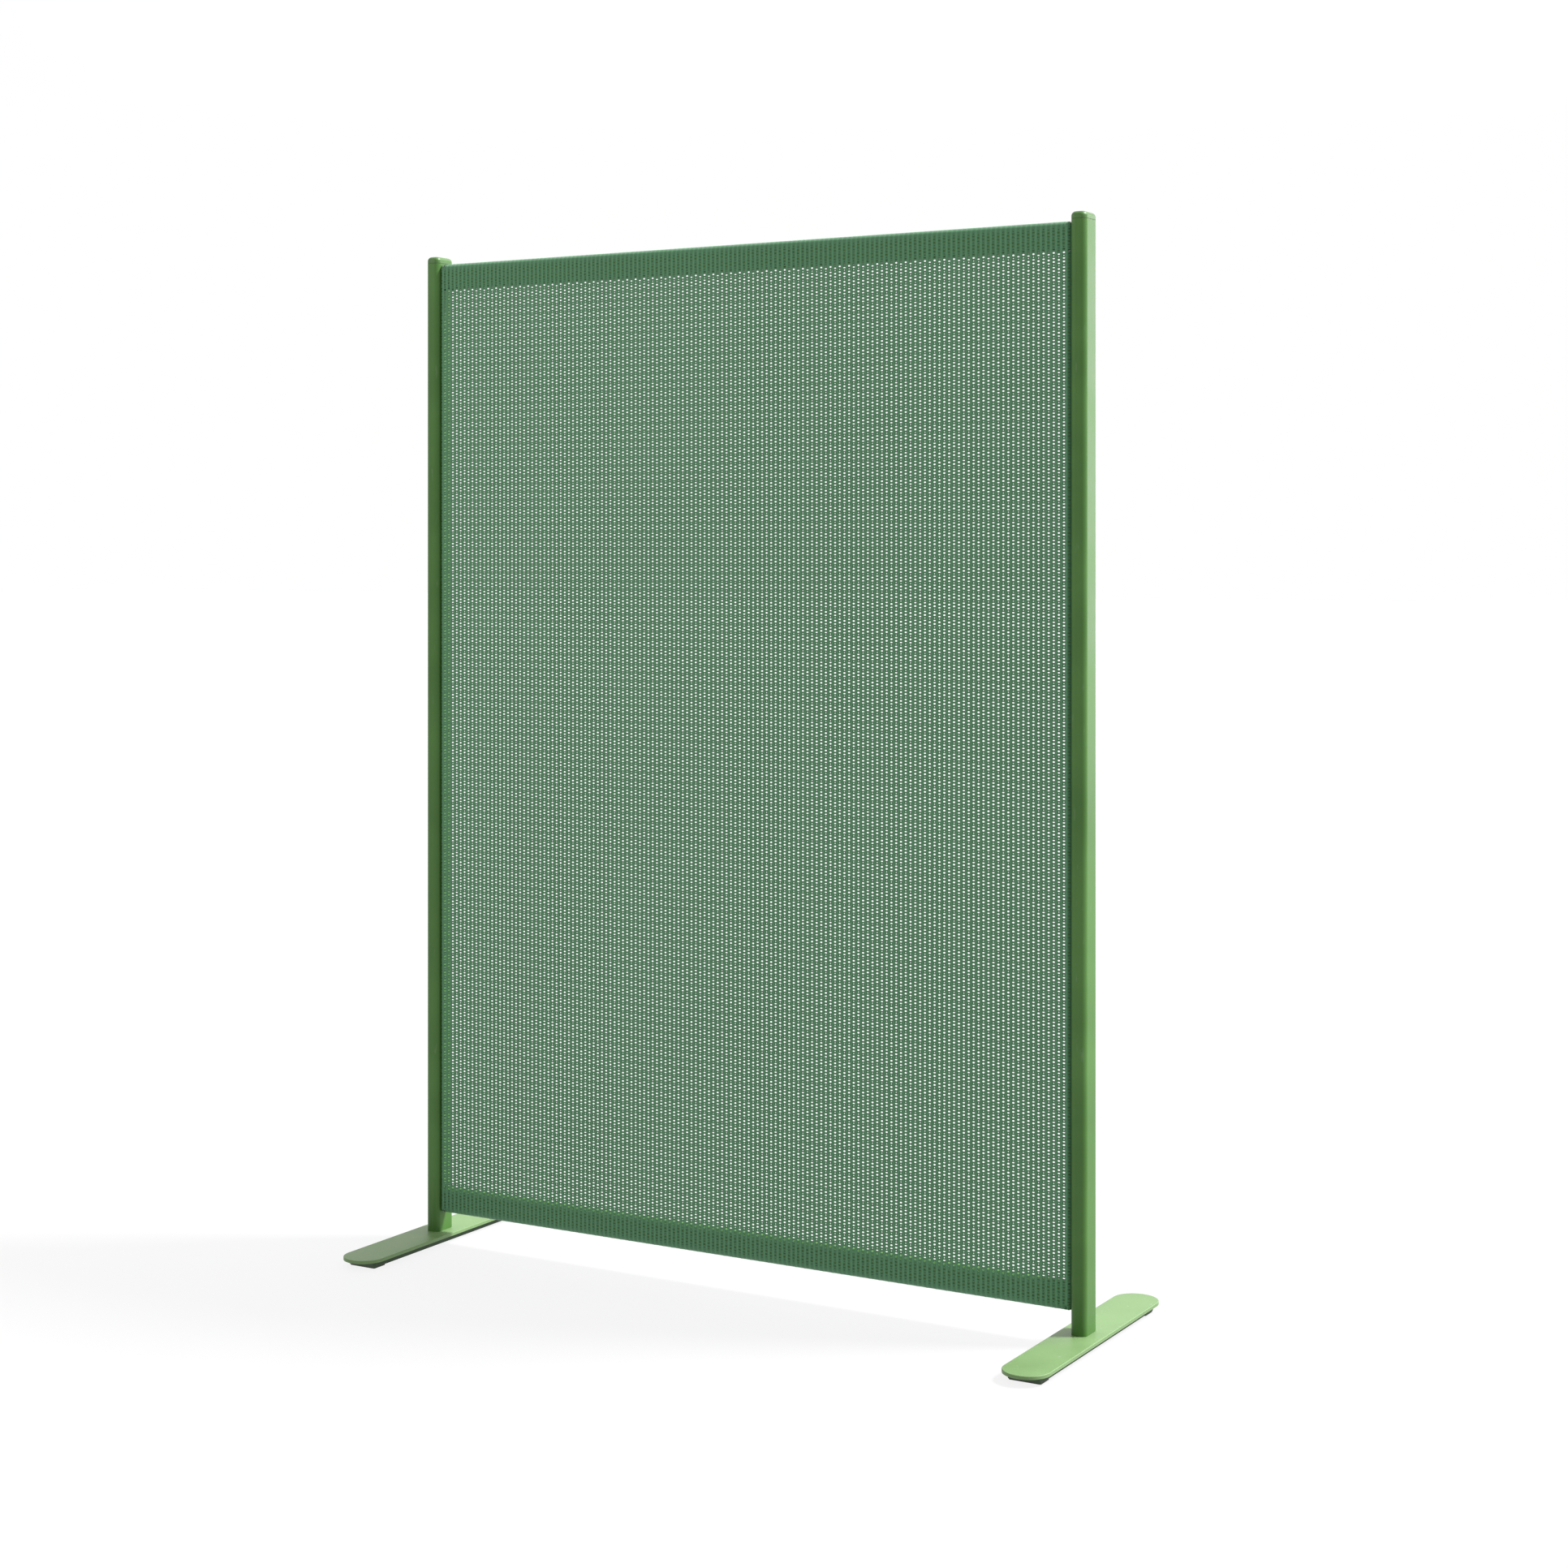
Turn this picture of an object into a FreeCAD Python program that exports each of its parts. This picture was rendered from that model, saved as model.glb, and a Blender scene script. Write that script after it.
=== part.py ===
"""Free-standing mesh screen: two posts on long foot plates hold a knitted panel between two rails.

Frame: the origin is on the floor, midway between the posts. +X runs along the panel, -Y is the
front, which the mesh lies nearer to, and +Z is up. All sizes are in millimetres.
"""
import FreeCAD, Part
import os

import Sketcher
from FreeCAD import Placement, Rotation, Vector

DIMENSIONS = {
    # Whole screen.
    "overall_width": 1200,          # over the outer faces of the posts
    "overall_height": 1650,
    # Posts: rounded rectangular tube.
    "post_width": 25,
    "post_depth": 45,
    "post_corner": 9,
    "post_wall": 2,
    # Caps: a head as wide as the post, a recessed reveal under it and a hollow plug in the tube.
    "cap_height": 11,
    "cap_edge": 7,
    "cap_reveal": 0.6,
    "cap_inset": 0.8,
    "cap_plug_depth": 25,
    "cap_plug_wall": 2,
    "fit_gap": 0.2,
    # Feet: plate, ballast bar with sloping ends, and two glide pads.
    "plate_length": 461,
    "plate_width": 71,
    "plate_height": 5,
    "plate_edge": 1,
    "ballast_length": 420,
    "ballast_width": 50,
    "ballast_height": 10,
    "ballast_slope": 6,
    "pad_length": 29,
    "pad_height": 1.5,
    "pad_corner": 3,
    "foot_plug_height": 60,
    # Rails: rounded tube with a slot along its underside that holds the hem strip.
    "rail_height": 41.5,
    "rail_depth": 20,
    "rail_corner": 8,
    "rail_wall": 1.5,
    "rail_slot": 4,
    "hem_strip_height": 3,
    # Brackets, nut plates and edge battens between the panel and the posts.
    "bracket_thickness": 9.2,
    "spigot_length": 24,
    "spigot_wall": 2.5,
    "nut_plate_width": 26,
    "nut_plate_height": 36,
    "nut_plate_thickness": 5,
    "nut_plate_corner": 3,
    "batten_depth": 10,
    "batten_gap": 2,
    # Knitted fabric.
    "fabric_thickness": 1.2,
    "fabric_front": 17,             # from the posts' middle to the face of the mesh
    "fabric_bend": 7.2,             # outer radius where the mesh turns in beside a post
    "panel_top": 1637,
    "panel_bottom": 48.5,
    "keder_radius": 2.5,
    # Screws: shank radius, head radius, length and socket radius of each kind, and their spacing.
    "base_screw_radius": 4,
    "base_screw_head": 7.5,
    "base_screw_length": 45,
    "base_screw_socket": 2.9,
    "base_screw_spacing": 24,
    "ballast_screw_radius": 3,
    "ballast_screw_head": 6,
    "ballast_screw_length": 14,
    "ballast_screw_socket": 2.3,
    "ballast_screw_spacing": 300,
    "bracket_screw_radius": 2.5,
    "bracket_screw_head": 4.8,
    "bracket_screw_length": 16,
    "bracket_screw_socket": 1.7,
    "bracket_screw_spacing": 20,
    "rail_screw_radius": 2,
    "rail_screw_head": 3.4,
    "rail_screw_length": 7,
    "rail_screw_socket": 1.4,
    "rail_screw_inset": 12,
    "batten_screw_radius": 2,
    "batten_screw_head": 3.8,
    "batten_screw_length": 14,
    "batten_screw_socket": 1.4,
    "screw_clearance": 0.1,
}
BATTEN_SCREWS = 6

# Places worked out from the sheet, as expressions.
POST_X = "((dims.overall_width - dims.post_width) / 2)"
PANEL_EDGE_X = "(dims.overall_width / 2 - dims.post_width)"
CORE_X = f"({PANEL_EDGE_X} - dims.fabric_thickness)"
BATTEN_X = f"({PANEL_EDGE_X} - dims.bracket_thickness)"
PLATE_Z = "(dims.pad_height + dims.ballast_height)"
POST_Z = f"({PLATE_Z} + dims.plate_height)"
SEAM_Z = "(dims.overall_height - dims.cap_height)"
RAIL_FRONT_Y = "(dims.fabric_thickness - dims.fabric_front)"
RAIL_Y = f"({RAIL_FRONT_Y} + dims.rail_depth / 2)"
RAIL_BACK_Y = f"({RAIL_FRONT_Y} + dims.rail_depth)"
TURNED_END_Y = f"({RAIL_FRONT_Y} + dims.batten_depth + dims.keder_radius)"
UPPER_RAIL_Z = "(dims.panel_top - dims.fabric_thickness - dims.rail_height / 2)"
LOWER_RAIL_Z = "(dims.panel_bottom + dims.fabric_thickness + dims.rail_height / 2)"
BATTEN_LOW_Z = f"({LOWER_RAIL_Z} + dims.rail_height / 2 + dims.batten_gap)"
BATTEN_HIGH_Z = f"({UPPER_RAIL_Z} - dims.rail_height / 2 - dims.batten_gap)"
INNER_WIDTH = "(dims.post_width - 2 * dims.post_wall)"
INNER_DEPTH = "(dims.post_depth - 2 * dims.post_wall)"
PLUG_WIDTH = f"({INNER_WIDTH} - 2 * dims.fit_gap)"
PLUG_DEPTH = f"({INNER_DEPTH} - 2 * dims.fit_gap)"
PLUG_CORNER = "(dims.post_corner - dims.post_wall - dims.fit_gap)"

TO_RIGHT = Rotation(Vector(0, 1, 0), 90)
TO_LEFT = Rotation(Vector(0, 1, 0), -90)
TO_FRONT = Rotation(Vector(1, 0, 0), 90)
UPWARDS = Rotation()

SIDES = (("left", -1, TO_LEFT), ("right", 1, TO_RIGHT))
RAILS = (("upper", UPPER_RAIL_Z), ("lower", LOWER_RAIL_Z))

doc = FreeCAD.newDocument("mesh_screen")
sheet = doc.addObject("Spreadsheet::Sheet", "dims")
for row, (alias, number) in enumerate(DIMENSIONS.items(), start=1):
    sheet.set(f"A{row}", alias)
    sheet.set(f"B{row}", str(number))
    sheet.setAlias(f"B{row}", alias)
doc.recompute()

subparts = []


def value(expression):
    """The number that an expression on the sheet gives."""
    return float(sheet.evalExpression(expression))


def bind(item, **expressions):
    """Bind each named property of item to an expression."""
    for name, expression in expressions.items():
        item.setExpression(name, expression)


def move(item, x="0", y="0", z="0", rotation=UPWARDS):
    """Give item a rotation and bind its position."""
    item.Placement = Placement(Vector(), rotation)
    for axis, expression in zip("xyz", (x, y, z)):
        item.setExpression(f"Placement.Base.{axis}", expression)
    return item


def subpart(item, name):
    """Name item as one sub-part of the screen."""
    item.Label = name
    subparts.append(item)
    return item


def box(name, low, size):
    """A box from its low corner and its three sides."""
    item = doc.addObject("Part::Box", name)
    bind(item, Length=size[0], Width=size[1], Height=size[2])
    return move(item, *low)


def fuse(name, shapes):
    item = doc.addObject("Part::MultiFuse", name)
    item.Shapes = shapes
    return item


def cut(name, base, tool):
    item = doc.addObject("Part::Cut", name)
    item.Base = base
    item.Tool = tool
    return item


def group(name, items):
    """Separate solids that share one node."""
    item = doc.addObject("Part::Compound", name)
    item.Links = items
    return subpart(item, name)


def sketch_on(body, name, role, offset="0"):
    """A sketch on one of the body's own origin planes, raised by offset along its normal."""
    sketch = body.newObject("Sketcher::SketchObject", name)
    plane = next(item for item in body.Origin.OriginFeatures if item.Role == role)
    sketch.AttachmentSupport = [(plane, "")]
    sketch.MapMode = "FlatFace"
    sketch.setExpression("AttachmentOffset.Base.z", offset)
    return sketch


def constrain(sketch, kind, *places, size=None):
    """Add a constraint, bound to an expression where it has a size."""
    if size is None:
        return sketch.addConstraint(Sketcher.Constraint(kind, *places))
    index = sketch.addConstraint(Sketcher.Constraint(kind, *places, value(size)))
    sketch.setExpression(f"Constraints[{index}]", size)
    return index


def draw_rounded_rectangle(sketch, width, height, corner):
    """A rectangle with round corners about the sketch's origin."""
    radius = value(corner)
    reach_x = value(width) / 2 - radius
    reach_y = value(height) / 2 - radius
    first = sketch.GeometryCount
    quarters = ((1, 1, 0), (-1, 1, 90), (-1, -1, 180), (1, -1, 270))
    arcs = []
    for side_x, side_y, start in quarters:
        circle = Part.Circle(Vector(side_x * reach_x, side_y * reach_y, 0), Vector(0, 0, 1), radius)
        first_angle = FreeCAD.Units.parseQuantity(f"{start} deg").getValueAs("rad").Value
        last_angle = FreeCAD.Units.parseQuantity(f"{start + 90} deg").getValueAs("rad").Value
        arcs.append(Part.ArcOfCircle(circle, first_angle, last_angle))
    lines = []
    for arc, following in zip(arcs, arcs[1:] + arcs[:1]):
        lines.append(Part.LineSegment(arc.EndPoint, following.StartPoint))
    sketch.addGeometry(arcs + lines)
    for number in range(4):
        arc = first + number
        line = first + 4 + number
        following = first + (number + 1) % 4
        constrain(sketch, "Tangent", arc, 2, line, 1)
        constrain(sketch, "Tangent", line, 2, following, 1)
        constrain(sketch, "Vertical" if number % 2 else "Horizontal", line)
        if number:
            constrain(sketch, "Equal", first, arc)
    constrain(sketch, "Symmetric", first, 3, first + 2, 3, -1, 1)
    constrain(sketch, "Radius", first, size=corner)
    constrain(sketch, "DistanceX", first + 1, 3, first, 3, size=f"{width} - 2 * {corner}")
    constrain(sketch, "DistanceY", first + 3, 3, first, 3, size=f"{height} - 2 * {corner}")


def draw_round_ended_plate(sketch, length, width):
    """A plate outline along Y whose ends are half circles."""
    radius = value(width) / 2
    reach = (value(length) - value(width)) / 2
    half_turn = FreeCAD.Units.parseQuantity("180 deg").getValueAs("rad").Value
    back = Part.ArcOfCircle(Part.Circle(Vector(0, reach, 0), Vector(0, 0, 1), radius), 0, half_turn)
    front_circle = Part.Circle(Vector(0, -reach, 0), Vector(0, 0, 1), radius)
    front = Part.ArcOfCircle(front_circle, half_turn, 2 * half_turn)
    left = Part.LineSegment(back.EndPoint, front.StartPoint)
    right = Part.LineSegment(front.EndPoint, back.StartPoint)
    sketch.addGeometry([back, left, front, right])
    for first, second in ((0, 1), (1, 2), (2, 3), (3, 0)):
        constrain(sketch, "Tangent", first, 2, second, 1)
    constrain(sketch, "Vertical", 1)
    constrain(sketch, "Symmetric", 0, 3, 2, 3, -1, 1)
    constrain(sketch, "Radius", 0, size=f"{width} / 2")
    constrain(sketch, "DistanceY", 2, 3, 0, 3, size=f"{length} - {width}")


def pad(body, name, sketch, length, downwards=False):
    item = body.newObject("PartDesign::Pad", name)
    item.Profile = sketch
    item.Reversed = downwards
    bind(item, Length=length)
    return item


def tube(name, plane, outline, length, wall=None):
    """A body of rounded rectangular section along the plane's normal, hollow where wall is given."""
    width, height, corner = outline
    body = doc.addObject("PartDesign::Body", name)
    sketch = sketch_on(body, f"{name}_section", plane)
    draw_rounded_rectangle(sketch, width, height, corner)
    if wall:
        draw_rounded_rectangle(
            sketch, f"({width} - 2 * {wall})", f"({height} - 2 * {wall})", f"({corner} - {wall})")
    pad(body, f"{name}_pad", sketch, length)
    return body


def screw_shape(name, kind, extra="0"):
    """Shank and countersunk head, pointing up from the head's face, each larger by extra."""
    shank = doc.addObject("Part::Cylinder", f"{name}_shank")
    bind(shank, Radius=f"dims.{kind}_radius + {extra}", Height=f"dims.{kind}_length + {extra}")
    head = doc.addObject("Part::Cone", f"{name}_head")
    bind(head, Radius1=f"dims.{kind}_head + {extra}", Radius2=f"dims.{kind}_radius + {extra}",
         Height=f"dims.{kind}_head - dims.{kind}_radius")
    return fuse(f"{name}_shape", [shank, head])


def screw(name, kind, position, rotation):
    """A countersunk screw with a hexagonal socket, and the space that it needs in its neighbours."""
    socket = doc.addObject("Part::Prism", f"{name}_socket")
    socket.Polygon = 6
    bind(socket, Circumradius=f"dims.{kind}_socket", Height=f"dims.{kind}_head - dims.{kind}_radius")
    body = move(cut(name, screw_shape(f"{name}_solid", kind), socket), *position, rotation)
    space = screw_shape(f"{name}_space", kind, "dims.screw_clearance")
    return body, move(space, *position, rotation)


def screw_set(name, kind, placings):
    """Screws at each (position, rotation), as one node, and the tool that makes their holes."""
    pairs = []
    for number, (position, rotation) in enumerate(placings, start=1):
        pairs.append(screw(f"{name}_{number}", kind, position, rotation))
    group(name, [body for body, space in pairs])
    return fuse(f"{name}_holes", [space for body, space in pairs])


def top_edges(feature):
    """Names of the edges that lie in the feature's top face."""
    top = feature.Shape.BoundBox.ZMax
    names = []
    for number, edge in enumerate(feature.Shape.Edges, start=1):
        if edge.BoundBox.ZMin > top - 1e-6:
            names.append(f"Edge{number}")
    return names


def rounded_top(body, name, feature, radius):
    """Round the feature's top edges."""
    doc.recompute()
    item = body.newObject("PartDesign::Fillet", name)
    item.Base = (feature, top_edges(feature))
    bind(item, Radius=radius)
    body.Tip = item
    return item


def make_cap(side, x):
    """Head with a rounded top, a recessed reveal and a hollow plug that pushes into the post."""
    name = f"{side}_post_cap"
    body = doc.addObject("PartDesign::Body", name)
    section = sketch_on(body, f"{name}_section", "XY_Plane")
    draw_rounded_rectangle(section, "dims.post_width", "dims.post_depth", "dims.post_corner")
    head = pad(body, f"{name}_head", section, "dims.cap_height - dims.cap_reveal")
    rounded_top(body, f"{name}_round", head, "dims.cap_edge")
    collar = sketch_on(body, f"{name}_collar_section", "XY_Plane")
    draw_rounded_rectangle(
        collar, "(dims.post_width - 2 * dims.cap_inset)", "(dims.post_depth - 2 * dims.cap_inset)",
        "(dims.post_corner - dims.cap_inset)")
    pad(body, f"{name}_collar", collar, "dims.cap_reveal", downwards=True)
    plug = sketch_on(body, f"{name}_plug_section", "XY_Plane")
    draw_rounded_rectangle(plug, PLUG_WIDTH, PLUG_DEPTH, PLUG_CORNER)
    solid_plug = pad(body, f"{name}_plug", plug, "dims.cap_plug_depth", downwards=True)
    doc.recompute()
    hollow_section = sketch_on(body, f"{name}_hollow_section", "XY_Plane", "-dims.cap_plug_depth")
    wall = "dims.cap_plug_wall"
    draw_rounded_rectangle(
        hollow_section, f"({PLUG_WIDTH} - 2 * {wall})", f"({PLUG_DEPTH} - 2 * {wall})",
        f"({PLUG_CORNER} - {wall})")
    hollow = body.newObject("PartDesign::Pocket", f"{name}_hollow")
    hollow.Profile = hollow_section
    hollow.Reversed = True
    bind(hollow, Length="dims.cap_plug_depth - dims.cap_reveal - dims.cap_plug_wall")
    doc.recompute()
    if hollow.Shape.Volume >= solid_plug.Shape.Volume:
        raise RuntimeError(f"{name}: the plug's hollow cuts nothing")
    move(body, x, "0", f"{SEAM_Z} + dims.cap_reveal")
    subpart(body, name)


def make_foot(side, x):
    """Plate, ballast bar, glide pads, the plug in the post's end and the screws from below."""
    base_holes = screw_set(f"{side}_base_screws", "base_screw", [
        ((x, f"{end} * dims.base_screw_spacing / 2", "dims.pad_height"), UPWARDS) for end in (-1, 1)])
    ballast_holes = screw_set(f"{side}_ballast_screws", "ballast_screw", [
        ((x, f"{end} * dims.ballast_screw_spacing / 2", "dims.pad_height"), UPWARDS)
        for end in (-1, 1)])
    holes = fuse(f"{side}_foot_holes", [base_holes, ballast_holes])

    plate = doc.addObject("PartDesign::Body", f"{side}_plate_body")
    outline = sketch_on(plate, f"{side}_plate_outline", "XY_Plane")
    draw_round_ended_plate(outline, "dims.plate_length", "dims.plate_width")
    slab = pad(plate, f"{side}_plate_pad", outline, "dims.plate_height")
    rounded_top(plate, f"{side}_plate_round", slab, "dims.plate_edge")
    move(plate, x, "0", PLATE_Z)
    subpart(cut(f"{side}_plate_drilled", plate, holes), f"{side}_base_plate")

    bar = doc.addObject("Part::Wedge", f"{side}_ballast_blank")
    half_width = "dims.ballast_width / 2"
    half_top = "dims.ballast_length / 2"
    half_bottom = "dims.ballast_length / 2 - dims.ballast_slope"
    bind(bar, Xmin=f"-{half_width}", Xmax=half_width, X2min=f"-{half_width}", X2max=half_width,
         Ymin="0", Ymax="dims.ballast_height", Zmin=f"-({half_bottom})", Zmax=half_bottom,
         Z2min=f"-{half_top}", Z2max=half_top)
    move(bar, x, "0", "dims.pad_height", TO_FRONT)
    subpart(cut(f"{side}_ballast_drilled", bar, holes), f"{side}_ballast_bar")

    for end_name, end in (("front", -1), ("rear", 1)):
        name = f"{side}_{end_name}_glide"
        glide = tube(name, "XY_Plane", ("dims.ballast_width", "dims.pad_length", "dims.pad_corner"),
                     "dims.pad_height")
        move(glide, x, f"{end} * ({half_bottom} - dims.pad_length / 2)")
        subpart(glide, name)

    plug = tube(f"{side}_plug_body", "XY_Plane", (PLUG_WIDTH, PLUG_DEPTH, PLUG_CORNER),
                "dims.foot_plug_height")
    move(plug, x, "0", POST_Z)
    subpart(cut(f"{side}_plug_tapped", plug, holes), f"{side}_foot_plug")


def make_brackets(side, sign, outwards):
    """Rail end brackets with their screws and nut plates, and the holes that the screws need."""
    placings = []
    for rail, rail_z in RAILS:
        for end in (-1, 1):
            height = f"{rail_z} + {end} * dims.bracket_screw_spacing / 2"
            placings.append(((f"{sign} * {BATTEN_X}", RAIL_Y, height), outwards))
    holes = screw_set(f"{side}_bracket_screws", "bracket_screw", placings)

    rail_screws = screw_set(f"{side}_rail_screws", "rail_screw", [
        ((f"{sign} * ({BATTEN_X} - dims.rail_screw_inset)", RAIL_BACK_Y, rail_z), TO_FRONT)
        for rail, rail_z in RAILS])

    spigot = "(dims.rail_wall + dims.fit_gap)"
    spigot_outline = (f"(dims.rail_depth - 2 * {spigot})", f"(dims.rail_height - 2 * {spigot})",
                      f"(dims.rail_corner - {spigot})")
    flange_outline = ("dims.rail_depth", "dims.rail_height", "dims.rail_corner")
    flange_x = BATTEN_X if sign > 0 else f"-{PANEL_EDGE_X}"
    spigot_x = f"{BATTEN_X} - dims.spigot_length" if sign > 0 else f"-{BATTEN_X}"
    for rail, rail_z in RAILS:
        name = f"{rail}_{side}_rail_bracket"
        flange = tube(f"{name}_flange", "YZ_Plane", flange_outline, "dims.bracket_thickness")
        move(flange, flange_x, RAIL_Y, rail_z)
        turned = doc.addObject("Part::MultiCommon", f"{name}_turned_edge")
        turned.Shapes = [flange, inside_mesh]
        socket = tube(f"{name}_spigot", "YZ_Plane", spigot_outline, "dims.spigot_length",
                      "dims.spigot_wall")
        move(socket, spigot_x, RAIL_Y, rail_z)
        body = fuse(f"{name}_body", [turned, socket])
        drilled = cut(f"{name}_drilled", body, fuse(f"{name}_holes", [holes, rail_screws]))
        subpart(drilled, name)

        plate_name = f"{rail}_{side}_nut_plate"
        plate = tube(f"{plate_name}_body", "YZ_Plane",
                     ("dims.nut_plate_width", "dims.nut_plate_height", "dims.nut_plate_corner"),
                     "dims.nut_plate_thickness")
        inner_wall = f"({PANEL_EDGE_X} + dims.post_wall)"
        plate_x = inner_wall if sign > 0 else f"-({inner_wall} + dims.nut_plate_thickness)"
        move(plate, plate_x, "0", rail_z)
        subpart(cut(f"{plate_name}_tapped", plate, holes), plate_name)
    return holes, rail_screws


def make_batten(side, sign, outwards):
    """Strip that clamps the mesh's turned edge against the post, with its screws."""
    middle_y = f"{RAIL_FRONT_Y} + dims.batten_depth / 2"
    placings = []
    for number in range(BATTEN_SCREWS):
        share = f"({number} + 0.5) / {BATTEN_SCREWS}"
        height = f"{BATTEN_LOW_Z} + ({BATTEN_HIGH_Z} - {BATTEN_LOW_Z}) * {share}"
        placings.append(((f"{sign} * {BATTEN_X}", middle_y, height), outwards))
    holes = screw_set(f"{side}_batten_screws", "batten_screw", placings)
    corner_x = BATTEN_X if sign > 0 else f"-{CORE_X}"
    blank = box(f"{side}_batten_blank", (corner_x, RAIL_FRONT_Y, BATTEN_LOW_Z),
                (f"{CORE_X} - {BATTEN_X}", "dims.batten_depth", f"{BATTEN_HIGH_Z} - {BATTEN_LOW_Z}"))
    turned = doc.addObject("Part::MultiCommon", f"{side}_batten_turned_edge")
    turned.Shapes = [blank, inside_mesh]
    subpart(cut(f"{side}_batten_drilled", turned, holes), f"{side}_edge_batten")
    return holes


def make_keder(side, sign):
    """Round bead sewn to the mesh's edge, which the batten keeps from slipping forward."""
    name = f"{side}_keder"
    bead = doc.addObject("Part::Cylinder", name)
    bind(bead, Radius="dims.keder_radius", Height=f"{BATTEN_HIGH_Z} - {BATTEN_LOW_Z}")
    move(bead, f"{sign} * ({CORE_X} - dims.keder_radius)", TURNED_END_Y, BATTEN_LOW_Z)
    subpart(bead, name)


def make_post(side, x, holes):
    """Tube, drilled in its inner wall for the bracket and batten screws."""
    outline = ("dims.post_width", "dims.post_depth", "dims.post_corner")
    body = tube(f"{side}_post_body", "XY_Plane", outline, f"{SEAM_Z} - {POST_Z}", "dims.post_wall")
    move(body, x, "0", POST_Z)
    subpart(cut(f"{side}_post_drilled", body, fuse(f"{side}_post_holes", holes)), f"{side}_post")


def make_rail(rail, rail_z, rail_holes):
    """Tube with a slot along its underside, and the strip that presses the hem into the slot."""
    length = f"(2 * {BATTEN_X})"
    outline = ("dims.rail_depth", "dims.rail_height", "dims.rail_corner")
    body = tube(f"{rail}_rail_body", "YZ_Plane", outline, length, "dims.rail_wall")
    move(body, f"-{BATTEN_X}", RAIL_Y, rail_z)
    underside = f"{rail_z} - dims.rail_height / 2"
    slot = box(f"{rail}_rail_slot", (f"-{BATTEN_X}", f"{RAIL_Y} - dims.rail_slot / 2", underside),
               (length, "dims.rail_slot", "dims.rail_wall"))
    tool = fuse(f"{rail}_rail_cuts", [slot] + rail_holes)
    subpart(cut(f"{rail}_rail_slotted", body, tool), f"{rail}_rail")

    reach = f"({BATTEN_X} - dims.spigot_length - dims.fit_gap)"
    strip = box(f"{rail}_hem_strip", (f"-{reach}", f"{RAIL_Y} - dims.rail_slot / 2", underside),
                (f"2 * {reach}", "dims.rail_slot", "dims.hem_strip_height"))
    subpart(strip, f"{rail}_hem_strip")


def make_hem(rail, rail_z):
    """The turn of fabric that wraps a rail from the mesh's front face to the rail's slot."""
    name = f"{rail}_hem"
    length = f"(2 * ({PANEL_EDGE_X} - dims.fabric_bend))"
    skin = "dims.fabric_thickness"
    depth = f"(dims.rail_depth + 2 * {skin})"
    height = f"(dims.rail_height + 2 * {skin})"
    ring = tube(f"{name}_ring", "YZ_Plane", (depth, height, f"(dims.rail_corner + {skin})"), length, skin)
    start = f"-({length} / 2)"
    move(ring, start, RAIL_Y, rail_z)
    front = f"{RAIL_Y} - {depth} / 2"
    half_slot = "dims.rail_slot / 2"
    low = f"{rail_z} - {height} / 2"
    bend = f"(dims.rail_corner + {skin})"
    if rail == "upper":
        # Open from the bend in front, down and under, to the slot.
        opening = box(f"{name}_opening", (start, front, low),
                      (length, f"{depth} / 2 + {half_slot}", f"{height} - {bend}"))
    else:
        # Open from the bend in front, up and over, and down the back to the slot.
        above = box(f"{name}_above", (start, front, f"{low} + {bend}"),
                    (length, depth, f"{height} - {bend}"))
        behind = box(f"{name}_behind", (start, f"{RAIL_Y} - {half_slot}", low),
                     (length, f"{depth} / 2 + {half_slot}", bend))
        opening = fuse(f"{name}_opening", [above, behind])
    subpart(cut(f"{name}_wrap", ring, opening), name)


def fabric_outline(inset):
    """Plan outline of the mesh's outer face, or of what it wraps, inset by its thickness."""
    width = f"(2 * {PANEL_EDGE_X} - 2 * {inset})"
    depth = f"(2 * (dims.fabric_front - {inset}))"
    return width, depth, f"(dims.fabric_bend - {inset})"


def make_mesh_panel(holes):
    """Flat sheet of mesh whose edges turn back along the posts as far as the keder beads."""
    bend = "(dims.rail_corner + dims.fabric_thickness)"
    height = f"(dims.panel_top - dims.panel_bottom - 2 * {bend})"
    ring = tube("mesh_ring", "XY_Plane", fabric_outline("0"), height, "dims.fabric_thickness")
    bottom = f"dims.panel_bottom + {bend}"
    move(ring, "0", "0", bottom)
    rear = box("mesh_rear", (f"-{PANEL_EDGE_X}", TURNED_END_Y, bottom),
               (f"2 * {PANEL_EDGE_X}", "2 * dims.fabric_front", height))
    subpart(cut("mesh_sheet", ring, fuse("mesh_cuts", [rear] + holes)), "mesh_panel")


def export_subparts():
    """Write each sub-part to parts/NODE.step once every object in the document is sound."""
    doc.recompute()
    for item in doc.Objects:
        if "Invalid" in item.State or "Error" in item.State:
            raise RuntimeError(f"{item.Name} failed: {item.State}")
    for item in subparts:
        if item.Shape.isNull() or not item.Shape.isValid() or not item.Shape.Solids:
            raise RuntimeError(f"{item.Label} has no sound shape")
    os.makedirs("parts", exist_ok=True)
    for item in subparts:
        item.Shape.exportStep(f"parts/{item.Label}.step")
        print(f"{item.Label}: {len(item.Shape.Solids)} solids, {item.Shape.Volume:.0f} mm3")


# The room inside the mesh's turned edges, and beside the posts behind them. The brackets and
# battens are trimmed to it.
behind_face = tube("behind_face", "XY_Plane", fabric_outline("dims.fabric_thickness"),
                   "dims.overall_height")
behind_edges = box("behind_edges", (f"-{PANEL_EDGE_X}", TURNED_END_Y, "0"),
                   (f"2 * {PANEL_EDGE_X}", "dims.fabric_front", "dims.overall_height"))
inside_mesh = fuse("inside_mesh", [behind_face, behind_edges])

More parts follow.
